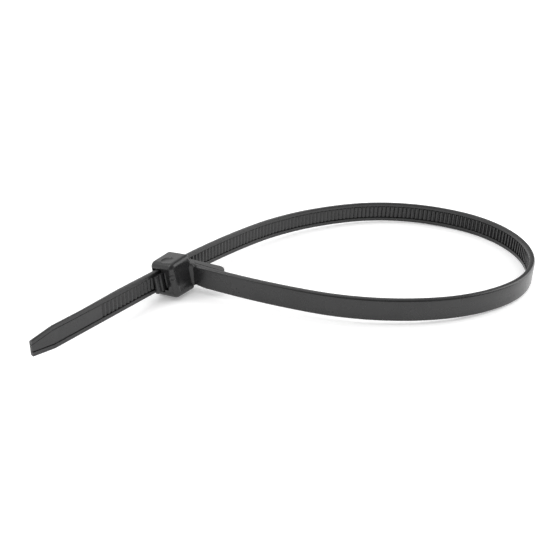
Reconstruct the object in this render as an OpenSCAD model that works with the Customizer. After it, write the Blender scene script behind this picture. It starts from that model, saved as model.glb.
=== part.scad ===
// Cable tie of moulded nylon, closed in a loose loop and lying on its side.
// One piece: a toothed strap, and a head with a slot and a pawl. The strap
// leaves the head, runs round the loop, passes through the slot and ends in
// a straight tail. Origin: on the resting surface, under the centre of the
// loop's round far end. X runs along the loop, away from the head, and Z is up.

/* [Strap] */
// Width of the strap
strap_w = 4.8; // [3.6:0.1:7.8]
// Thickness of the strap over its rails
strap_t = 1.15; // [0.9:0.05:1.6]
// Width of each plain rail beside the teeth
rail_w = 0.85; // [0.5:0.05:1.1]
// Depth of the track between the rails
track_d = 0.55; // [0.3:0.05:0.65]
// Length of strap without teeth, next to the head
plain_l = 12; // [9:0.5:20]

/* [Teeth] */
// Distance from one tooth to the next
tooth_pitch = 1.065; // [0.8:0.005:1.6]
// Height of a tooth
tooth_h = 0.38; // [0.2:0.02:0.45]
// Groove between the row of teeth and each rail
tooth_gap = 0.16; // [0.1:0.02:0.3]

/* [Tail] */
// Tail from the middle of the head to its tip
tail_l = 36.6; // [28:0.1:70]
// Smooth end of the tail, without teeth
smooth_l = 17.1; // [10:0.1:24]
// Length of the taper at the tip
tip_l = 4.9; // [3:0.1:9]
// Width of the squared end of the tip
tip_w = 3.3; // [2:0.1:4]
// Depth of the track on the smooth end
smooth_d = 0.14; // [0.08:0.02:0.25]
// How much thinner the smooth end is than the rest
thin_d = 0.45; // [0:0.05:0.5]
// Length over which the tail gets thinner
thin_run = 10; // [4:1:14]

/* [Loop] */
// Radius of the far strand where it leaves the slot
lead_r = 145; // [100:5:180]
// Radius of the far strand's long stretch
far_r = 59; // [48:1:70]
// Radius of the round far end
end_r = 23.7; // [18:0.1:28]
// Radius of the near strand's long stretch
near_r = 51; // [42:1:62]
// Radius of the near strand where it leaves the head
root_r = 140; // [100:5:180]
// Angle of the slot to the loop's length
slot_turn = 56.7; // [45:0.1:65]

/* [Head] */
// Head along the slot
head_l = 6.4; // [5:0.1:7.5]
// Head from its back wall to its front wall
head_t = 6.1; // [5.4:0.1:7]
// Head across the strap's width, at its entry
head_w = 8.2; // [7.6:0.1:10.5]
// Slope of its two sides, which come closer towards the exit
head_taper = 2; // [0:0.5:3]
// Radius of the head's edges
head_round = 0.9; // [0.4:0.1:1.2]
// Radius of its upper and lower edges at the exit
exit_round = 1.3; // [0.9:0.1:1.6]
// Wall behind the slot
back_wall = 0.7; // [0.5:0.05:1]
// Wall in front of the pawl
front_wall = 1.8; // [1.2:0.1:2]
// Lean of the head on the strap, by the play in its slot
head_lean = 8; // [0:0.5:10]
// Pitch of the head along the slot, by the same play
head_pitch = 2; // [0:0.5:4]
// Rim round the shallow panel in the head's front
panel_rim = 1.3; // [1.2:0.1:1.8]
// Depth of that panel
panel_d = 0.15; // [0.1:0.05:0.3]
// Radius of the round ejector mark on the head's top
mark_r = 1.4; // [0.8:0.1:1.6]

/* [Neck] */
// Step from the head's entry face to the strap's smooth face
neck_step = 0.55; // [0.1:0.05:1]
// Splay of the strap where it leaves the head
neck_splay = 5; // [2:0.5:8]
// Radius of the fillet between the head's front and the strap's smooth face
neck_fillet = 1; // [0.5:0.1:1.4]
// Bevel on the edges of that face at the head
neck_bevel = 0.65; // [0.3:0.05:0.8]
// Length over which the bevel runs out
bevel_l = 4.6; // [3:0.1:6]
// Thickness that the neck's pad adds at its end, inside the loop
pad_t = 2; // [0.8:0.1:2.2]
// Length of the pad from the head's front
pad_l = 7; // [5:0.1:10]
// Step from the strap's edges in to the pad's
pad_inset = 0.2; // [0.1:0.05:0.5]

/* [Pawl] */
// Thickness of the pawl
pawl_t = 0.8; // [0.6:0.05:0.9]
// Width of the pawl
pawl_w = 3.8; // [3:0.1:4.4]
// How far the pawl's tip stands out of the head
pawl_out = 1.7; // [0.6:0.1:2]
// Number of teeth on the pawl
pawl_teeth = 3; // [2:1:4]
// Play between the strap and the slot's walls
slot_play = 0.1; // [0.05:0.01:0.15]

/* [Hidden] */
// Steps of a full turn on a rounded corner
corner_steps = 32;
$fn = 180;
// Small overlap that joins two pieces of one moulding, and what a cut runs past a face
join = 0.3;
cut = 0.5;
// Height of the pawl's teeth, and the pitch of its ribs as a share of the teeth's
pawl_tooth = 0.18;
pawl_rib_share = 1.35;
// Shape of one rib, as shares of the ribs' pitch: where its crest starts and ends, and its foot
rib_rise = 0.1;
rib_crest = 0.6;
rib_foot = 0.75;
// Shape of one tooth of the pawl: how much of its pitch its slope takes
pawl_slope = 0.8;
// Place of the pawl's hinge, as a share of the head's length from its middle to the entry
hinge_share = 0.4;
// Share of the web's thickness at which the row of teeth is rooted in it
root_share = 0.45;
// Rise of a tooth's foot above the floor of its track
foot = 0.08;
// Shape of one tooth, as shares of its pitch: slow rise, flat crest, steep fall
rise_share = 0.5;
crest_share = 0.78;
fall_share = 0.9;
// Longest turn of the route between two points of its curve
station_turn = 2;
// Straight stretch of strap past the entry face
lead_straight = 0.75;
// Turns of the loop's arcs, but the last, which takes what is left of the whole turn
far_turns = [9.5, 28.5, 50];
end_turn = 110;
near_turns = [27, 29];
// Pad: round of its end, where it starts, clear of the strap in the slot, and its
// thickness there
pad_round = 1.2;
pad_start = -2.4;
pad_root_t = 1.4;
// How far the neck's fillet is let into the head's front
seat = 0.02;
// Ejector mark: its depth, and its place from the middle of the head's top
mark_d = 0.1;
mark_at = [-1.1, -0.4];
// Round gate mark on the head's front, by the exit: radii of its ring, height of the
// ring, height above the middle, and distance from the exit
gate_r = 0.65;
gate_eye_r = 0.3;
gate_h = 0.12;
gate_z = 0.9;
gate_x = 1.3;

web_t = strap_t - track_d;
lean_shift = strap_w / 2 * sin(head_lean);
slot_w = strap_w * cos(head_lean) + strap_t * sin(head_lean) + head_l * sin(head_pitch)
    + 2 * slot_play;
slot_back = strap_t / 2 + lean_shift + slot_play;
head_back = slot_back + back_wall;
head_front = head_back - head_t;
chamber_front = head_front + front_wall;
hinge = head_l / 2 * hinge_share;
teeth_w = strap_w - 2 * rail_w - 2 * tooth_gap;

// Unit vector to the right of a heading, which points into the loop
function inward(heading) = [sin(heading), -cos(heading)];
// What an arc of radius 1 that turns right by an angle adds to the route
function arc_step(heading, turn) = inward(heading) - inward(heading - turn);
function total(list, count) = count <= 0 ? 0 : list[count - 1] + total(list, count - 1);
function total_points(list, count) =
    count <= 0 ? [0, 0] : list[count - 1] + total_points(list, count - 1);
function cross2(a, b) = a[0] * b[1] - a[1] * b[0];

// Route of the strap's middle line, from the slot round the loop to the neck.
// The slot's middle is [0, 0], and the route leaves it along +X.
route_start = [head_l / 2 + lead_straight, 0];
route_end = [head_l / 2 - neck_step + strap_t / 2, head_front];
whole_turn = 270 - neck_splay;
set_turns = concat(far_turns, [end_turn], near_turns);
turns = concat(set_turns, [whole_turn - total(set_turns, len(set_turns))]);
arcs = len(turns);
headings = [for (i = [0:arcs]) -total(turns, i)];
steps = [for (i = [0:arcs - 1]) arc_step(headings[i], turns[i])];

// The two shoulders on either side of the far end take the radii that close the loop
far_shoulder = len(far_turns) - 1;
far_end = far_shoulder + 1;
near_shoulder = far_end + 1;
left_over = route_end - route_start - lead_r * steps[0] - far_r * steps[1]
    - end_r * steps[far_end] - near_r * steps[near_shoulder + 1] - root_r * steps[arcs - 1];
shoulder_area = cross2(steps[far_shoulder], steps[near_shoulder]);
far_shoulder_r = cross2(left_over, steps[near_shoulder]) / shoulder_area;
near_shoulder_r = cross2(steps[far_shoulder], left_over) / shoulder_area;
radii = [lead_r, far_r, far_shoulder_r, end_r, near_shoulder_r, near_r, root_r];

arc_lengths = [for (i = [0:arcs - 1]) turns[i] * radii[i] * PI / 180];
hops = [for (i = [0:arcs - 1]) radii[i] * steps[i]];
arc_points = [for (i = [0:arcs]) route_start + total_points(hops, i)];
arc_places = [for (i = [0:arcs]) route_start[0] + total(arc_lengths, i)];
centres = [for (i = [0:arcs - 1]) arc_points[i] + radii[i] * inward(headings[i])];
end_centre = centres[far_end];

// Point at a distance along the route and an offset towards the inside of the loop
function arc_at(place) = total([for (i = [1:arcs - 1]) place > arc_places[i] ? 1 : 0], arcs - 1);
function on_arc(i, place, offset) =
    centres[i] - (radii[i] - offset)
        * inward(headings[i] - (place - arc_places[i]) / radii[i] * 180 / PI);
function on_route(place, offset) =
    place <= arc_places[0] ? [place, -offset]
    : place >= arc_places[arcs] ? past_end(place - arc_places[arcs], offset)
    : on_arc(arc_at(place), place, offset);
function past_end(run, offset) =
    arc_points[arcs] + run * inward(headings[arcs] + 90) + offset * inward(headings[arcs]);

// The toothed track runs from the smooth end of the tail to the plain strap by the head
track_start = smooth_l - tail_l;
track_end = arc_places[arcs] - plain_l;
tooth_count = floor((track_end - track_start) / tooth_pitch);

// Places at which the route's curve has a point
stations = [for (i = [0:arcs - 1])
    let (count = ceil(turns[i] / station_turn))
    for (k = [0:count - 1]) arc_places[i] + k / count * arc_lengths[i]];

// Height of the slot over the resting surface. The head lies on the back end of its lower
// side's exit edge, whose place in the head this is.
low_x = exit_round - head_l / 2;
low_z = head_w / 2 - (head_l / 2 - low_x) * tan(head_taper);
low_y = head_back - head_round + sqrt(head_round ^ 2 - (low_z - head_w / 2 + head_round) ^ 2);
slot_z = (low_y * sin(head_lean) + low_z * cos(head_lean)) * cos(head_pitch)
    - low_x * sin(head_pitch);
// The strap's plane falls from there to the far end of the loop, which lies on the surface
reach = norm(end_centre) + end_r + strap_t / 2;
strap_fall = asin((slot_z - strap_w / 2) / reach);
fall_turn = atan2(end_centre[1], end_centre[0]);

// Rectangle with rounded corners, from its two half sides
module rounded(half_x, half_y, radius) {
    square([2 * half_x, 2 * (half_y - radius)], center = true);
    square([2 * (half_x - radius), 2 * half_y], center = true);
    for (x = [-1, 1], y = [-1, 1])
        translate([x * (half_x - radius), y * (half_y - radius)]) circle(radius, $fn = corner_steps);
}

// Flat band along the route, from one place and offset to another
module ribbon(from, to, outer, inner) {
    places = concat([from], [for (p = stations) if (p > from && p < to) p], [to]);
    polygon(concat([for (p = places) on_route(p, outer)],
        [for (k = [len(places) - 1:-1:0]) on_route(places[k], inner)]));
}

// Strap: a smooth outer face, and a track for the teeth between two rails on the other
module strap() {
    track_w = strap_w - 2 * rail_w;
    face = strap_t / 2;
    difference() {
        linear_extrude(strap_w, center = true)
            ribbon(-tail_l, arc_places[arcs] + front_wall, -face, face);
        linear_extrude(track_w, center = true)
            ribbon(track_start, track_end, face - track_d, face + cut);
        linear_extrude(track_w, center = true)
            ribbon(-tail_l - cut, track_start + join, face - smooth_d, face + cut);
        tail_thinning(face);
        for (side = [-1, 1]) scale([1, 1, side]) {
            tip_taper();
            neck_bevel_cut();
        }
    }
}

// The tail's back slopes in, so that its smooth end is thin enough to find the slot
module tail_thinning(face) {
    linear_extrude(strap_w + cut, center = true)
        polygon([[track_start + thin_run / 2, face], [track_start - thin_run / 2, face - thin_d],
            [-tail_l - cut, face - thin_d], [-tail_l - cut, face + cut],
            [track_start + thin_run / 2, face + cut]]);
}

// What the taper takes off the upper side of the tip
module tip_taper() {
    rotate([90, 0, 0]) linear_extrude(2 * strap_t, center = true)
        polygon([[-tail_l - cut, tip_w / 2 - cut * (strap_w - tip_w) / 2 / tip_l],
            [tip_l - tail_l, strap_w / 2], [tip_l - tail_l, strap_w / 2 + cut],
            [-tail_l - cut, strap_w / 2 + cut]]);
}

// Row of teeth in the track: each rises slowly towards the loop and falls steeply,
// so the strap slides into the slot and can't slide back
module teeth() {
    floor_n = strap_t / 2 - track_d;
    root_n = floor_n - web_t * root_share;
    foot_n = floor_n + foot;
    crest_n = floor_n + tooth_h + foot;
    row_end = track_start + tooth_count * tooth_pitch;
    back = concat([track_start], [for (p = stations) if (p > track_start && p < row_end) p],
        [row_end]);
    linear_extrude(teeth_w, center = true)
        polygon(concat(
            [for (k = [0:tooth_count - 1])
                let (place = track_start + k * tooth_pitch)
                each [on_route(place, foot_n),
                    on_route(place + rise_share * tooth_pitch, crest_n),
                    on_route(place + crest_share * tooth_pitch, crest_n),
                    on_route(place + fall_share * tooth_pitch, foot_n)]],
            [on_route(row_end, foot_n)],
            [for (k = [len(back) - 1:-1:0]) on_route(back[k], root_n)]));
}

// Pad with a rounded end, which backs the strap where it leaves the head's front wall,
// and whose root stands on the head's entry face
module neck_pad() {
    face = strap_t / 2;
    translate(route_end) rotate(neck_splay - 90)
        linear_extrude(strap_w - 2 * pad_inset, center = true) {
            polygon([[pad_start, -face], [pad_start / 2, -face], [0, face - join],
                [pad_l, face - join], [pad_l, face + pad_t - pad_round],
                [pad_l - pad_round, face + pad_t], [pad_start, face + pad_root_t]]);
            translate([pad_l - pad_round, face + pad_t - pad_round]) circle(pad_round);
        }
}

// What the bevel takes off the upper edge of the strap's smooth face, by the head
module neck_bevel_cut() {
    deep = neck_bevel / sqrt(2);
    translate(route_end) rotate(neck_splay - 90)
        translate([bevel_l, -strap_t / 2, strap_w / 2]) rotate([45, 0, 0])
        rotate([0, -atan2(deep, bevel_l), 0])
        translate([-bevel_l - front_wall, -strap_t, 0])
        cube([bevel_l + front_wall, 2 * strap_t, strap_t]);
}

// Fillet in the corner between the head's front and the strap's smooth face
module neck_fillet_web() {
    radius = neck_fillet;
    across = [cos(neck_splay), sin(neck_splay)];
    corner = route_end - strap_t / 2 * across;
    eye_y = head_front + seat - radius;
    eye = [corner[0] + seat - (radius + across[1] * (eye_y - corner[1])) / across[0], eye_y];
    touch = eye + radius * across;
    lean_drop = head_front * sin(head_lean);
    translate([0, 0, lean_drop]) linear_extrude(strap_w - 2 * neck_bevel, center = true)
        difference() {
            polygon([[eye[0], head_front + join], eye, touch, touch + join * across,
                [corner[0] + join, head_front + join]]);
            translate(eye) circle(radius);
        }
}

// Outside of the head: a block with rounded edges all round, wider ones at the exit
module head_block() {
    span = [head_l, head_t, head_w] / 2;
    long = 3 * max(span);
    translate([0, (head_front + head_back) / 2, 0]) intersection() {
        linear_extrude(long, center = true) rounded(span[0], span[1], head_round);
        rotate([90, 0, 90]) linear_extrude(long, center = true)
            rounded(span[1], span[2], head_round);
        rotate([90, 0, 0]) linear_extrude(long, center = true) head_side(span[0], span[2]);
    }
}

// Points of a round corner, from one direction to another
function round_corner(middle, radius, from, to) =
    [for (k = [0:corner_steps / 4])
        let (turn = from + (to - from) * k / (corner_steps / 4))
        middle + radius * [cos(turn), sin(turn)]];

// Side view of the head, with the exit on the left
module head_side(half_l, half_w) {
    exit_x = exit_round - half_l;
    entry_x = half_l - head_round;
    exit_y = half_w - (half_l - exit_x) * tan(head_taper) - exit_round / cos(head_taper);
    entry_y = half_w - (half_l - entry_x) * tan(head_taper) - head_round / cos(head_taper);
    upper = concat(round_corner([exit_x, exit_y], exit_round, 180, 90 + head_taper),
        round_corner([entry_x, entry_y], head_round, 90 + head_taper, 0));
    polygon(concat(upper, [for (k = [len(upper) - 1:-1:0]) [upper[k][0], -upper[k][1]]]));
}

// Way through the head: the slot, and the pawl's chamber beside it, open at the exit
module slot_space() {
    entry_front = -slot_back - pawl_t;
    linear_extrude(slot_w, center = true)
        polygon([[-head_l / 2 - cut, slot_back], [head_l / 2 + cut, slot_back],
            [head_l / 2 + cut, -slot_back], [head_l / 2, -slot_back],
            [hinge, entry_front], [hinge, chamber_front], [-head_l / 2 - cut, chamber_front]]);
}

// Pawl: a tongue hinged at the entry side, whose free end stands out of the exit.
// Its teeth point at the strap's track, and its other side has a rib across it for
// each tooth
module pawl() {
    face = -slot_back - slot_play;
    tip = -head_l / 2 - pawl_out;
    rib = pawl_t / 3;
    rib_pitch = tooth_pitch * pawl_rib_share;
    knuckle = face - pawl_t - rib;
    linear_extrude(pawl_w, center = true)
        polygon(concat(
            [[tip, face], [hinge + join, face], [hinge + join, chamber_front - join],
                [hinge - join, chamber_front - join], [hinge - join, knuckle]],
            [for (k = [pawl_teeth - 1:-1:0])
                let (x = tip + k * rib_pitch)
                each [[x + rib_foot * rib_pitch, face - pawl_t + rib],
                    [x + rib_crest * rib_pitch, face - pawl_t],
                    [x + rib_rise * rib_pitch, face - pawl_t], [x, face - pawl_t + rib]]]));
    linear_extrude(teeth_w, center = true)
        polygon(concat(
            [for (k = [0:pawl_teeth - 1])
                let (x = tip + k * tooth_pitch)
                each [[x, face + pawl_tooth], [x + pawl_slope * tooth_pitch, face]]],
            [[tip + pawl_teeth * tooth_pitch, face], [tip + pawl_teeth * tooth_pitch, face - rib],
                [tip, face - rib]]));
}

// Shallow panel in the head's front, between its rim at the exit and the neck's fillet
module front_panel() {
    panel_l = head_l / 2 + route_end[0] - strap_t / 2 - neck_fillet - 2 * panel_rim;
    translate([panel_rim - head_l / 2, head_front - cut, 0])
        rotate([-90, 0, 0]) linear_extrude(panel_d + cut)
        translate([panel_l / 2, 0]) rounded(panel_l / 2, head_w / 2 - panel_rim, panel_d);
}

// Ring that the gate left on the head's front
module gate_mark() {
    root = panel_d + join;
    translate([gate_x - head_l / 2, head_front + root, gate_z]) rotate([90, 0, 0])
        difference() {
            cylinder(r = gate_r, h = root + gate_h);
            translate([0, 0, root]) cylinder(r = gate_eye_r, h = cut);
        }
}

// Round mark that the ejector left on the head's top
module ejector_mark() {
    translate([head_l / 2, (head_front + head_back) / 2, head_w / 2]) rotate([0, -head_taper, 0])
        translate([mark_at[0] - head_l / 2, mark_at[1], -mark_d]) cylinder(r = mark_r, h = cut);
}

module head() {
    rotate([-head_lean, -head_pitch, 0]) {
        difference() {
            head_block();
            slot_space();
            front_panel();
            ejector_mark();
        }
        pawl();
        gate_mark();
        neck_fillet_web();
    }
}

module cable_tie() {
    color([0.09, 0.09, 0.09])
        translate([-cos(slot_turn) * end_centre[0] + sin(slot_turn) * end_centre[1],
            -sin(slot_turn) * end_centre[0] - cos(slot_turn) * end_centre[1], slot_z])
        rotate([0, 0, slot_turn]) {
            rotate([0, 0, fall_turn]) rotate([0, strap_fall, 0]) rotate([0, 0, -fall_turn]) {
                strap();
                teeth();
                neck_pad();
            }
            head();
        }
}

cable_tie();
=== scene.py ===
from math import asin, atan2, cos, hypot, pi, radians, sin, sqrt, tan

import bmesh
import bpy
import numpy as np
from mathutils import Matrix, Vector


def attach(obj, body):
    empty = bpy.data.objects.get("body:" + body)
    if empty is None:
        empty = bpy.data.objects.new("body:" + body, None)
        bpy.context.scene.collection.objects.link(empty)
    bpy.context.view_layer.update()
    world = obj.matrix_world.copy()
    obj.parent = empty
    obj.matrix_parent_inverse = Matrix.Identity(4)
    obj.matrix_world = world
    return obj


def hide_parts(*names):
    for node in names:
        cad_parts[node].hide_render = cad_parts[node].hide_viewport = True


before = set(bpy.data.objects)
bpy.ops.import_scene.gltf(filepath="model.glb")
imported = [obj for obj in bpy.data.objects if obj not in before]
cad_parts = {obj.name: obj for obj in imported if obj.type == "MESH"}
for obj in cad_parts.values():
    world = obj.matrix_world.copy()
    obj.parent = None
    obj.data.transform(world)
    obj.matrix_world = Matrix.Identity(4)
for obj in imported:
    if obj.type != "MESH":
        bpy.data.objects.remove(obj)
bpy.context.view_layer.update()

# Strap: one moulded band of nylon, smooth outside, with saw teeth in a track between two rails
# inside. It leaves the head's front, runs round the loop in tangent arcs, passes the slot and
# ends in a thin smooth tail. Sizes are in mm from the slot's middle until the tie is laid down.
STRAP_W, STRAP_T = 4.8, 1.15
RAIL_W = 0.85
TRACK_D = 0.55
PLAIN_L = 12
TOOTH_PITCH = 1.065
TOOTH_H = 0.38
TOOTH_GAP = 0.16
TOOTH_FOOT = 0.08
TOOTH_FORM = [(0.0, 0.0), (0.08, 0.03), (0.44, 0.94), (0.52, 1.0), (0.76, 1.0),
              (0.81, 0.93), (0.89, 0.05), (0.93, 0.0)]
TRACK_START_RUN, TRACK_END_RUN = 0.1, 0.4
TAIL_L = 36.6
SMOOTH_L, SMOOTH_D, SMOOTH_RISE = 17.1, 0.42, 0.26
THIN_D, THIN_RUN = 0.45, 10
TIP_L, TIP_W = 4.9, 3.3
OUTER_EDGE_R, OUTER_EDGE_STEPS = 0.4, 4
RAIL_EDGE_R, RAIL_EDGE_STEPS = 0.14, 3
WALL_SOFT, WALL_DRAFT = 0.07, 0.01
GAP_EDGE, TOOTH_EDGE = 0.04, 0.06
LEAD_STRAIGHT = 0.75
LEAD_R, FAR_R, END_R, NEAR_R, ROOT_R = 145, 59, 23.7, 51, 140
TURNS = [9.5, 28.5, 50, 110, 27, 29]
HEAD_L, HEAD_T = 6.4, 6.1
HEAD_LEAN = radians(8)
BACK_WALL, FRONT_WALL = 0.7, 1.8
SLOT_PLAY = 0.1
NECK_STEP = 0.55
NECK_SPLAY = 5
NECK_BEVEL, BEVEL_L = 0.65, 4.6
BEVEL_START, BEVEL_RIM = 0.25, 0.06
BEVEL_SHARES = [1 / 6, 1 / 2, 5 / 6]
CURVE_STEP, FINE_STEP = 1.0, 0.1
CLEAR = 0.005

slot_back = STRAP_T / 2 + STRAP_W / 2 * sin(HEAD_LEAN) + SLOT_PLAY
head_back = slot_back + BACK_WALL
head_front = head_back - HEAD_T
turns = [radians(t) for t in TURNS + [270 - NECK_SPLAY - sum(TURNS)]]
headings = [-sum(turns[:i]) for i in range(len(turns) + 1)]


def inward(heading):
    """Unit vector to the right of a heading, which points into the loop."""
    return np.array([sin(heading), -cos(heading)])


steps = [inward(headings[i]) - inward(headings[i + 1]) for i in range(len(turns))]
route_start = np.array([HEAD_L / 2 + LEAD_STRAIGHT, 0])
route_end = np.array([HEAD_L / 2 - NECK_STEP + STRAP_T / 2, head_front])
left_over = (route_end - route_start - LEAD_R * steps[0] - FAR_R * steps[1]
             - END_R * steps[3] - NEAR_R * steps[5] - ROOT_R * steps[6])
shoulders = np.linalg.solve(np.stack([steps[2], steps[4]], 1), left_over)
radii = [LEAD_R, FAR_R, shoulders[0], END_R, shoulders[1], NEAR_R, ROOT_R]
arc_points = [route_start + sum((radii[k] * steps[k] for k in range(i)), np.zeros(2))
              for i in range(len(turns) + 1)]
arc_places = [route_start[0] + sum(turns[k] * radii[k] for k in range(i))
              for i in range(len(turns) + 1)]
arc_centres = [arc_points[i] + radii[i] * inward(headings[i]) for i in range(len(turns))]
track_start = SMOOTH_L - TAIL_L
track_end = arc_places[-1] - PLAIN_L
tooth_count = int((track_end - track_start) / TOOTH_PITCH)
row_end = track_start + tooth_count * TOOTH_PITCH


def on_route(place):
    """Point of the strap's middle line at a distance along it, and its heading there."""
    if place <= arc_places[0]:
        return np.array([place, 0.0]), 0.0
    if place >= arc_places[-1]:
        ahead = np.array([cos(headings[-1]), sin(headings[-1])])
        return arc_points[-1] + (place - arc_places[-1]) * ahead, headings[-1]
    i = max(k for k in range(len(turns)) if arc_places[k] <= place)
    heading = headings[i] - (place - arc_places[i]) / radii[i]
    return arc_centres[i] - radii[i] * inward(heading), heading


def ramp(x, start, end):
    """0 before start, 1 after end, and a smooth rise between them."""
    t = min(1.0, max(0.0, (x - start) / (end - start)))
    return t * t * (3 - 2 * t)


def strap_ring(place, crest):
    """Section of the strap at a place, where the teeth have a share of their height."""
    middle, heading = on_route(place)
    half = STRAP_W / 2
    if place < TIP_L - TAIL_L:
        half -= (STRAP_W - TIP_W) / 2 * (TIP_L - TAIL_L - place) / TIP_L
    thin = THIN_D * min(1.0, max(0.0, (track_start + THIN_RUN / 2 - place) / THIN_RUN))
    outer, inner = -STRAP_T / 2 + thin + CLEAR, STRAP_T / 2
    toothed = ramp(place, track_start - TRACK_START_RUN, track_start + TRACK_START_RUN)
    smooth = 1 - toothed
    toothed *= 1 - ramp(place, track_end, track_end + TRACK_END_RUN)
    depth = TRACK_D * toothed + SMOOTH_D * smooth
    floor = inner - depth
    top = floor + (TOOTH_FOOT + TOOTH_H * crest) * toothed + SMOOTH_RISE * smooth
    rail = half - RAIL_W
    tooth = rail - TOOTH_GAP
    bevel = NECK_BEVEL * min(1.0, max(0.0, 1 - (arc_places[-1] - place) / BEVEL_L))
    bevelled = min(1.0, bevel / BEVEL_START)
    flat = [0] + [bevel * share for share in BEVEL_SHARES] + [bevel + BEVEL_RIM]
    side = []
    for k in range(OUTER_EDGE_STEPS + 1):
        a = k / OUTER_EDGE_STEPS * pi / 2
        n, z = OUTER_EDGE_R * (1 - cos(a)), OUTER_EDGE_R * (1 - sin(a))
        side.append((outer + n + (flat[k] - n) * bevelled,
                     half - z - (flat[OUTER_EDGE_STEPS - k] - z) * bevelled))
    for k in range(RAIL_EDGE_STEPS + 1):
        a = k / RAIL_EDGE_STEPS * pi / 2
        side.append((inner - RAIL_EDGE_R * (1 - sin(a)), half - RAIL_EDGE_R * (1 - cos(a))))
    soft = min(WALL_SOFT, depth / 3)
    side += [(inner, rail + soft), (inner - soft, rail + WALL_DRAFT), (floor + soft / 2, rail),
             (floor, rail - GAP_EDGE), (floor, tooth + GAP_EDGE),
             (top - TOOTH_EDGE * toothed * crest, tooth), (top, tooth - TOOTH_EDGE)]
    outline = side + [(n, -z) for n, z in reversed(side)] + [(outer, -half / 3), (outer, half / 3)]
    into = inward(heading)
    return [(middle[0] + n * into[0], middle[1] + n * into[1], z) for n, z in outline]


def solid(name, rings):
    """Closed mesh from rings of points, each joined to the next, with flat ends."""
    points = np.array(rings, dtype=float)
    count, around = points.shape[:2]
    faces = [tuple(range(around))[::-1], tuple((count - 1) * around + j for j in range(around))]
    for i in range(count - 1):
        for j in range(around):
            k = (j + 1) % around
            faces.append((i * around + j, i * around + k,
                          (i + 1) * around + k, (i + 1) * around + j))
    mesh = bpy.data.meshes.new(name)
    mesh.from_pydata(points.reshape(-1, 3).tolist(), [], faces)
    edit = bmesh.new()
    edit.from_mesh(mesh)
    bmesh.ops.recalc_face_normals(edit, faces=edit.faces)
    edit.to_mesh(mesh)
    edit.free()
    piece = bpy.data.objects.new(name, mesh)
    bpy.context.collection.objects.link(piece)
    return piece


stations = [(-TAIL_L, 0.0), (TIP_L - TAIL_L, 0.0)]
stations += [(track_start - THIN_RUN / 2, 0.0), (track_start - 1.2 * TRACK_START_RUN, 0.0)]
for tooth_number in range(tooth_count):
    for share, height in TOOTH_FORM:
        stations.append((track_start + (tooth_number + share) * TOOTH_PITCH, height))
stations.append((row_end, 0.0))
place = row_end + FINE_STEP
while place < arc_places[-1] + FRONT_WALL / 2:
    stations.append((place, 0.0))
    place += FINE_STEP if place < track_end + TRACK_END_RUN + FINE_STEP else CURVE_STEP
stations.append((arc_places[-1] + FRONT_WALL / 2, 0.0))
strap = solid("strap", [strap_ring(p, c) for p, c in sorted(stations)])

# Neck: where the strap leaves the head, the moulding is thickened inside the loop by a pad
# with a rounded end, whose root stands on the head's entry face. A narrow groove runs
# between the pad's sides and the strap's.
PAD_T, PAD_ROOT_T = 2, 1.4
PAD_L, PAD_START = 7, -2.4
PAD_ROUND, PAD_ROUND_STEPS = 1.9, 8
PAD_INSET = 0.03
GROOVE_W, GROOVE_D = 0.18, 0.25
PAD_EDGE_R = 0.22
EDGE_SEGMENTS, EDGE_ANGLE = 3, radians(25)
JOIN = 0.3


def prism(name, outline, half_height, edge=0.0):
    """Straight solid from an outline in X and Y, with its edges bevelled."""
    piece = solid(name, [[(x, y, z) for x, y in outline] for z in (-half_height, half_height)])
    if edge:
        soften = piece.modifiers.new("edges", "BEVEL")
        soften.width = edge
        soften.segments = EDGE_SEGMENTS
        soften.angle_limit = EDGE_ANGLE
        bpy.context.view_layer.objects.active = piece
        bpy.ops.object.modifier_apply(modifier=soften.name)
    return piece


def combine(target, tool, operation):
    """Adds a second solid to a first, or cuts it away, and drops the second."""
    change = target.modifiers.new(operation.lower(), "BOOLEAN")
    change.operation = operation
    change.object = tool
    change.solver = "MANIFOLD"
    bpy.context.view_layer.objects.active = target
    bpy.ops.object.modifier_apply(modifier=change.name)
    bpy.data.objects.remove(tool)


face = STRAP_T / 2
outline = [(PAD_START, -face), (PAD_START / 2, -face), (0, face - JOIN), (PAD_L, face - JOIN)]
for k in range(PAD_ROUND_STEPS + 1):
    a = k / PAD_ROUND_STEPS * pi / 2
    outline.append((PAD_L - PAD_ROUND * (1 - cos(a)), face + PAD_T - PAD_ROUND * (1 - sin(a))))
outline.append((PAD_START, face + PAD_ROOT_T))
pad = prism("pad", outline, STRAP_W / 2 - PAD_INSET, PAD_EDGE_R)
for z in (-1, 1):
    groove = prism("groove", [(-JOIN, face), (2 * PAD_L, face), (2 * PAD_L, face + GROOVE_W),
                              (-JOIN, face + GROOVE_W)], PAD_L / 2)
    groove.data.transform(Matrix.Translation((0, 0, z * (STRAP_W / 2 - GROOVE_D + PAD_L / 2))))
    combine(pad, groove, "DIFFERENCE")
neck_place = (Matrix.Translation((route_end[0], route_end[1], 0))
              @ Matrix.Rotation(radians(NECK_SPLAY - 90), 4, "Z"))
pad.data.transform(neck_place)
combine(strap, pad, "UNION")

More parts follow.
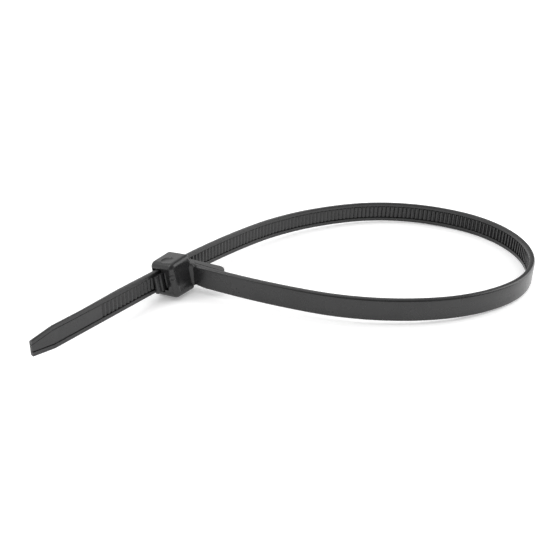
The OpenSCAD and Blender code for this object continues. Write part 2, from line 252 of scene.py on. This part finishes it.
# Head: a moulded block with soft edges at the strap's root. Its sides come closer towards the
# exit. The slot runs through it along the tail, and beside the slot is the pawl's chamber,
# open where the tail comes out.
HEAD_W = 8.2
HEAD_TAPER = radians(2)
HEAD_PITCH = radians(2)
HEAD_ROUND, EXIT_ROUND = 0.9, 1.3
HEAD_GRID = 0.15
PANEL_RIM, PANEL_EDGE, PANEL_D = 1.3, 0.5, 0.12
SLOT_W = (STRAP_W * cos(HEAD_LEAN) + STRAP_T * sin(HEAD_LEAN) + HEAD_L * sin(HEAD_PITCH)
          + 2 * SLOT_PLAY)
PAWL_T = 0.8
CHAMBER_W = 4.1
HINGE_SHARE = 0.4
HINGE = HEAD_L / 2 * HINGE_SHARE
half_l, half_t, half_w = HEAD_L / 2, HEAD_T / 2, HEAD_W / 2
exit_x, entry_x = EXIT_ROUND - half_l, half_l - HEAD_ROUND
chamber_front = head_front + FRONT_WALL
panel_end = route_end[0] - STRAP_T / 2


def side_height(x):
    """Half the head's width at a place along the slot."""
    return half_w - (half_l - x) * tan(HEAD_TAPER)


def side_gap(x, z):
    """Depth of a point inside the outline of the head's side view, and the way out."""
    exit_z = side_height(exit_x) - EXIT_ROUND / cos(HEAD_TAPER)
    entry_z = side_height(entry_x) - HEAD_ROUND / cos(HEAD_TAPER)
    for corner_x, corner_z, radius, beyond in ((exit_x, exit_z, EXIT_ROUND, x < exit_x),
                                               (entry_x, entry_z, HEAD_ROUND, x > entry_x)):
        if beyond and z > corner_z:
            way = np.array([x - corner_x, z - corner_z])
            return radius - np.linalg.norm(way), way / np.linalg.norm(way)
    gaps = [x + half_l, half_l - x, (side_height(x) - z) * cos(HEAD_TAPER)]
    ways = [(-1, 0), (1, 0), (-sin(HEAD_TAPER), cos(HEAD_TAPER))]
    nearest = int(np.argmin(gaps))
    return gaps[nearest], np.array(ways[nearest])


def head_form(x, y, z):
    """Place on the head of a point of a plain block of its size."""
    spot = np.array([x, abs(z) * side_height(x) / half_w])
    gap, way = side_gap(*spot)
    if gap < 0:
        spot += gap * way
        gap = 0
    depth, out = HEAD_ROUND - gap, abs(y) - half_t + HEAD_ROUND
    if depth > 0 and out > 0:
        share = HEAD_ROUND / hypot(depth, out)
        spot -= way * depth * (1 - share)
        y = np.sign(y) * (half_t - HEAD_ROUND + out * share)
    if y < 0:
        inside = min(spot[0] + half_l - PANEL_RIM, panel_end - spot[0])
        from_end = half_w - HEAD_ROUND - spot[1]
        y += PANEL_D * ramp(inside, 0, PANEL_EDGE) * ramp(from_end, 0, PANEL_RIM)
    return spot[0], y, np.sign(z) * spot[1]


edit = bmesh.new()
bmesh.ops.create_cube(edit, size=2)
for axis, half in enumerate((half_l, half_t, half_w)):
    count = round(2 * half / HEAD_GRID)
    for k in range(1, count):
        everything = edit.verts[:] + edit.edges[:] + edit.faces[:]
        normal = np.eye(3)[axis]
        bmesh.ops.bisect_plane(edit, geom=everything, plane_co=normal * (2 * k / count - 1),
                               plane_no=normal)
for v in edit.verts:
    v.co = head_form(v.co.x * half_l, v.co.y * half_t, v.co.z * half_w)
mesh = bpy.data.meshes.new("head")
edit.to_mesh(mesh)
edit.free()
head = bpy.data.objects.new("head", mesh)
bpy.context.collection.objects.link(head)
head.data.transform(Matrix.Translation((0, (head_front + head_back) / 2, 0)))
past = HEAD_L
slot = prism("slot", [(-past, slot_back), (past, slot_back), (past, -slot_back),
                      (half_l, -slot_back), (HINGE, -slot_back - PAWL_T / 2),
                      (-past, -slot_back - PAWL_T / 2)], SLOT_W / 2)
combine(head, slot, "DIFFERENCE")
chamber = prism("chamber", [(-past, 0), (HINGE, 0), (HINGE, chamber_front),
                            (-past, chamber_front)], CHAMBER_W / 2)
combine(head, chamber, "DIFFERENCE")

# Pawl: a springy tongue of the same moulding, hinged in the head at the entry side. Ribs run
# across its front, and its end stands out of the exit. Its back is plain here, because the
# teeth on it hide behind it, towards the strap.
PAWL_W = 3.8
PAWL_OUT = 2.4
PAWL_RIBS = 4
RIB_SHARE = 1.35
RIB_PITCH, RIB_H = TOOTH_PITCH * RIB_SHARE, PAWL_T / 3
RIB_FORM = [(0.75, 1), (0.6, 0), (0.1, 0), (0, 1)]
PAWL_EDGE = 0.07
pawl_face = -slot_back - SLOT_PLAY
tip = -half_l - PAWL_OUT
outline = [(tip, pawl_face), (HINGE + JOIN, pawl_face), (HINGE + JOIN, chamber_front - JOIN),
           (HINGE - JOIN, chamber_front - JOIN), (HINGE - JOIN, pawl_face - PAWL_T - RIB_H)]
for k in reversed(range(PAWL_RIBS)):
    outline += [(tip + (k + share) * RIB_PITCH, pawl_face - PAWL_T + low * RIB_H)
                for share, low in RIB_FORM]
combine(head, prism("pawl", outline, PAWL_W / 2, PAWL_EDGE), "UNION")

# Fillet: a web of the same moulding in the corner between the head's front and the strap's
# smooth face, which runs out at the upper and lower edge of that face.
NECK_FILLET, FILLET_STEPS = 1.1, 12
FILLET_SEAT = 0.14
FILLET_FORM = [(-2.5, 0.2), (-2.2, 0.65), (-1.7, 1), (1.7, 1), (2.2, 0.65), (2.5, 0.2)]
across = np.array([cos(radians(NECK_SPLAY)), sin(radians(NECK_SPLAY))])
corner = route_end - STRAP_T / 2 * across
eye_y = head_front + FILLET_SEAT - NECK_FILLET
eye_x = corner[0] + FILLET_SEAT - (NECK_FILLET + across[1] * (eye_y - corner[1])) / across[0]
outline = [(eye_x, head_front + JOIN)]
for k in range(FILLET_STEPS + 1):
    a = pi / 2 + (radians(NECK_SPLAY) - pi / 2) * k / FILLET_STEPS
    outline.append((eye_x + NECK_FILLET * cos(a), eye_y + NECK_FILLET * sin(a)))
outline += [(outline[-1][0] + JOIN * across[0], outline[-1][1] + JOIN * across[1]),
            (corner[0] + JOIN, head_front + JOIN)]
rings = []
for z, share in FILLET_FORM:
    rings.append([(corner[0] + share * (x - corner[0]), corner[1] + share * (y - corner[1]), z)
                  for x, y in outline])
web = solid("web", rings)
web.data.transform(Matrix.Translation((0, 0, head_front * sin(HEAD_LEAN))))
combine(head, web, "UNION")

# Mould marks: the gate left a small ring on the edge between the head's front and its exit,
# and the ejector pin left a shallow round dish on its top.
TURNED_SIDES = 48
GATE_IN = 0.27
GATE_AT = (GATE_IN - half_l, head_front + GATE_IN, 0.95)
GATE_FORM = [(0.68, -0.4), (0.68, 0.02), (0.62, 0.09), (0.52, 0.12), (0.42, 0.1), (0.34, 0.02),
             (0.28, -0.02)]
DISH_AT = (-1.1, (head_front + head_back) / 2 - 0.4)
DISH_FORM = [(0.4, -0.24), (0.8, -0.23), (1.1, -0.18), (1.3, -0.1), (1.42, 0.0), (1.5, 0.4)]


def turned(name, form):
    """Solid turned round Z from its radii and heights."""
    angles = [2 * pi * k / TURNED_SIDES for k in range(TURNED_SIDES)]
    spokes = [(cos(a), sin(a)) for a in angles]
    return solid(name, [[(r * c, r * s, h) for c, s in spokes] for r, h in form])


gate = turned("gate", GATE_FORM)
gate.data.transform(Matrix.Translation(GATE_AT) @ Matrix.Rotation(-pi / 4, 4, "Z")
                    @ Matrix.Rotation(pi / 2, 4, "X"))
combine(head, gate, "UNION")
dish = turned("dish", DISH_FORM)
dish.data.transform(Matrix.Translation((DISH_AT[0], DISH_AT[1], side_height(DISH_AT[0])))
                    @ Matrix.Rotation(-HEAD_TAPER, 4, "Y"))
combine(head, dish, "DIFFERENCE")

# The tie comes out of its mould as one piece, so its features are one mesh. It lies on its
# side: the head leans on its lower edge, and the strap's plane falls to the loop's far end.
MM = 0.001
SLOT_TURN = radians(56.7)
SHARP_ANGLE = radians(35)
low_z = side_height(exit_x)
low_y = head_back - HEAD_ROUND + sqrt(HEAD_ROUND ** 2 - (low_z - half_w + HEAD_ROUND) ** 2)
slot_z = ((low_y * sin(HEAD_LEAN) + low_z * cos(HEAD_LEAN)) * cos(HEAD_PITCH)
          - exit_x * sin(HEAD_PITCH))
end_centre = arc_centres[3]
reach = hypot(*end_centre) + END_R + STRAP_T / 2
fall = asin((slot_z - STRAP_W / 2) / reach)
fall_turn = atan2(end_centre[1], end_centre[0])
turn = Matrix.Rotation(SLOT_TURN, 4, "Z")
stand = Matrix.Translation((0, 0, slot_z)) @ turn @ Matrix.Translation((*-end_centre, 0))
tilt = (Matrix.Rotation(fall_turn, 4, "Z") @ Matrix.Rotation(fall, 4, "Y")
        @ Matrix.Rotation(-fall_turn, 4, "Z"))
lean = Matrix.Rotation(-HEAD_PITCH, 4, "Y") @ Matrix.Rotation(-HEAD_LEAN, 4, "X")
strap.data.transform(tilt)
head.data.transform(lean)
combine(strap, head, "UNION")
tie = strap
tie.name = "tie"
tie.data.transform(Matrix.Scale(MM, 4) @ stand)
tie.data.shade_smooth()
tie.data.set_sharp_from_angle(angle=SHARP_ANGLE)
even = tie.modifiers.new("even", "WEIGHTED_NORMAL")
even.keep_sharp = True
bpy.context.view_layer.objects.active = tie
bpy.ops.object.modifier_apply(modifier=even.name)

# Finish: the tie is black nylon all over, slightly cloudy and unevenly glossy as it comes out
# of the mould, with a fine grain that shows only from close up.
CLOUD_SCALE, GRAIN_SCALE = 180.0, 4200.0
BLACK, WORN_BLACK = (0.012, 0.012, 0.0125), (0.020, 0.020, 0.0205)
GLOSS, GLOSS_RANGE = 0.22, 0.1
GRAIN_HEIGHT, GRAIN_SHARE = 0.00003, 0.12
NYLON_IOR = 1.5


class Value:
    """Output of a node. Arithmetic on it adds Math nodes."""

    def __init__(self, shader, socket):
        self.shader = shader
        self.socket = socket

    def __add__(self, other):
        return self.shader.add("Math", {"operation": "ADD"}, {0: self, 1: other})

    def __mul__(self, other):
        return self.shader.add("Math", {"operation": "MULTIPLY"}, {0: self, 1: other})

    __radd__ = __add__
    __rmul__ = __mul__


class Shader:
    """Nodes of one material, or of the surroundings."""

    def __init__(self, owner):
        owner.use_nodes = True
        self.tree = owner.node_tree
        self.tree.nodes.clear()

    def add(self, kind, settings=None, sockets=None, out=0):
        """Adds a node: first its settings, then the values or links of its sockets."""
        node = self.tree.nodes.new("ShaderNode" + kind)
        for name, value in (settings or {}).items():
            if name == "stops":
                for element, (at, colour) in zip(node.color_ramp.elements, value):
                    element.position = at
                    element.color = (*colour, 1)
            else:
                setattr(node, name, value)
        for name, value in (sockets or {}).items():
            if isinstance(value, Value):
                self.tree.links.new(value.socket, node.inputs[name])
            else:
                node.inputs[name].default_value = value
        return Value(self, node.outputs[out]) if node.outputs else None


material = bpy.data.materials.new("black_nylon")
nylon = Shader(material)
at = nylon.add("TexCoord", out="Object")
cloud = nylon.add("TexNoise", sockets={"Vector": at, "Scale": CLOUD_SCALE, "Detail": 3.0,
                                       "Roughness": 0.6})
grain = nylon.add("TexNoise", sockets={"Vector": at, "Scale": GRAIN_SCALE, "Detail": 2.0})
colour = nylon.add("ValToRGB", {"stops": [(0.3, BLACK), (0.7, WORN_BLACK)]}, {"Fac": cloud})
relief = nylon.add("Bump", sockets={"Height": grain, "Strength": GRAIN_SHARE,
                                    "Distance": GRAIN_HEIGHT})
surface = nylon.add("BsdfPrincipled", sockets={"Base Color": colour,
                                               "Roughness": GLOSS + GLOSS_RANGE * cloud,
                                               "IOR": NYLON_IOR, "Normal": relief})
nylon.add("OutputMaterial", sockets={"Surface": surface})
tie.data.materials.clear()
tie.data.materials.append(material)
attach(tie, "root")
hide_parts("cable_tie")

# Floor and surroundings: a wide white sheet that keeps the tie's soft shadow, in a studio
# with white walls behind the tie and to its left, and darker walls on the other sides.
WHITE = (1, 1, 1, 1)
FLOOR_SIZE = 12.0
FLOOR_GLOW = 0.2
FLOOR_BOUNCE = (0.75, 0.75, 0.75, 1)
AMBIENT = 0.8
DARK_SIDE, RIGHT_SHADE = 0.25, -2
SHADE_START, SHADE_END = 0.1, 0.85
bpy.ops.mesh.primitive_plane_add(size=FLOOR_SIZE)
floor = bpy.context.object
floor.name = "floor"
paper = bpy.data.materials.new("white_sheet")
sheet = Shader(paper)
shown = (sheet.add("LightPath", out="Is Camera Ray") + sheet.add("LightPath", out="Is Glossy Ray")
         + sheet.add("LightPath", out="Is Transmission Ray"))
plain = sheet.add("BsdfDiffuse", sockets={"Color": FLOOR_BOUNCE})
bright = sheet.add("BsdfDiffuse", sockets={"Color": WHITE})
glow = sheet.add("Emission", sockets={"Color": WHITE, "Strength": FLOOR_GLOW})
white = sheet.add("AddShader", sockets={0: bright, 1: glow})
both = sheet.add("MixShader", sockets={0: shown, 1: plain, 2: white})
sheet.add("OutputMaterial", sockets={"Surface": both})
floor.data.materials.append(paper)

world = bpy.data.worlds.new("studio")
bpy.context.scene.world = world
studio = Shader(world)
way = studio.add("TexCoord", out="Generated")
right = studio.add("SeparateXYZ", sockets={0: way}, out="X")
back = studio.add("SeparateXYZ", sockets={0: way}, out="Y")
wall = studio.add("MapRange", {"interpolation_type": "SMOOTHSTEP"},
                  {"Value": back + RIGHT_SHADE * right, "From Min": SHADE_START,
                   "From Max": SHADE_END, "To Min": DARK_SIDE, "To Max": 1.0})
seen = (studio.add("LightPath", out="Is Camera Ray")
        + studio.add("LightPath", out="Is Transmission Ray"))
ambient = studio.add("Background", sockets={"Color": WHITE, "Strength": AMBIENT})
mirrored = studio.add("Background", sockets={"Color": WHITE, "Strength": wall})
backdrop = studio.add("Background", sockets={"Color": WHITE, "Strength": 1.0})
glossy = studio.add("MixShader", sockets={0: studio.add("LightPath", out="Is Glossy Ray"),
                                          1: ambient, 2: mirrored})
both = studio.add("MixShader", sockets={0: seen, 1: glossy, 2: backdrop})
studio.add("OutputWorld", sockets={"Surface": both})

# Lamps: three soft square studio lights, one nearly straight above the tie, one high on its
# left and one low on its right, each turned to it.


def lamp(name, size, power, place, aim):
    """Square light of a size and power at a place, turned to what it lights."""
    data = bpy.data.lights.new(name, "AREA")
    data.size = size
    data.energy = power
    light = bpy.data.objects.new(name, data)
    light.location = place
    light.rotation_euler = (Vector(aim) - Vector(place)).to_track_quat("-Z", "Y").to_euler()
    bpy.context.collection.objects.link(light)


lamp("overhead", 0.5, 0.45, (-0.03, 0.06, 0.55), (0, 0, 0))
lamp("left", 0.3, 0.75, (-0.43, -0.06, 0.5), (0, 0, 0))
lamp("right", 0.3, 0.7, (0.26, 0.1, 0.14), (0.05, 0.02, 0))

# Camera: where the photograph was taken from, in front of the loop and above it, and close
# enough that the strap's near side looks larger than its far side.
CAMERA_AT = (-0.031503, -0.159582, 0.078826)
HEADING, DOWN, ROLL = radians(-0.603), radians(27.592), radians(0.562)
LENS_PX, IMAGE_PX = 764.5, 560
SENSOR = 36.0
data = bpy.data.cameras.new("camera")
data.sensor_fit = "HORIZONTAL"
data.sensor_width = SENSOR
data.lens = SENSOR * LENS_PX / IMAGE_PX
data.clip_start = 0.01
camera = bpy.data.objects.new("camera", data)
view_dir = Vector((sin(HEADING) * cos(DOWN), cos(HEADING) * cos(DOWN), -sin(DOWN)))
camera.matrix_world = (Matrix.Translation(CAMERA_AT)
                       @ view_dir.to_track_quat("-Z", "Y").to_matrix().to_4x4()
                       @ Matrix.Rotation(ROLL, 4, "Z"))
bpy.context.collection.objects.link(camera)
bpy.context.scene.camera = camera
bpy.context.scene.view_settings.view_transform = "Standard"
